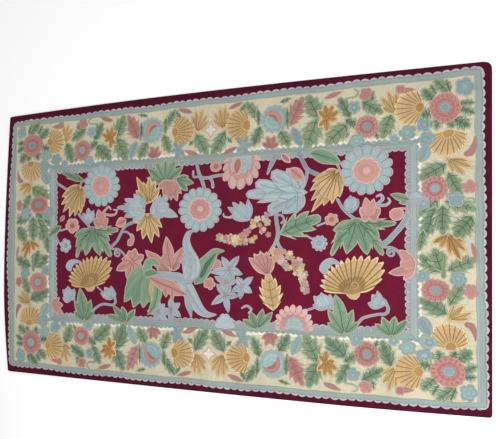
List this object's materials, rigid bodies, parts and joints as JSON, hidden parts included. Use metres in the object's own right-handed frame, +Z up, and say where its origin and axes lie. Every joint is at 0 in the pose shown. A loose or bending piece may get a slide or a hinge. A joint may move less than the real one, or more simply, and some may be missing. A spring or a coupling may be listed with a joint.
{
  "type": "chain-stitch embroidered wool rug",
  "caption": "Flat rectangular wool rug, chain stitched on cotton, with scalloped guard bands, a flowered cream border and a crimson field of flowers, leaves and a bird.",
  "frame": {"origin": "middle of the underside, on the floor", "axes": "+Z up, +X along the rug's length, +Y towards the back long edge"},
  "size_m": [1.524, 0.914, 0.007],
  "materials": {
    "crimson_wool": "matte chain-stitched wool, deep crimson ground and hem",
    "cream_wool": "matte chain-stitched wool, cream border ground",
    "grey_blue_wool": "matte chain-stitched wool, grey-blue scalloped guard bands",
    "sky_wool": "matte chain-stitched wool, pale blue flowers and leaves",
    "rose_wool": "matte chain-stitched wool, dusty rose flowers",
    "gold_wool": "matte chain-stitched wool, old gold shells and leaves",
    "green_wool": "matte chain-stitched wool, soft green leaves",
    "cotton_cloth": "plain unbleached cotton cloth, seen on the underside"
  },
  "bodies": {
    "root": {"rug": "crimson_wool"}
  },
  "joints": []
}
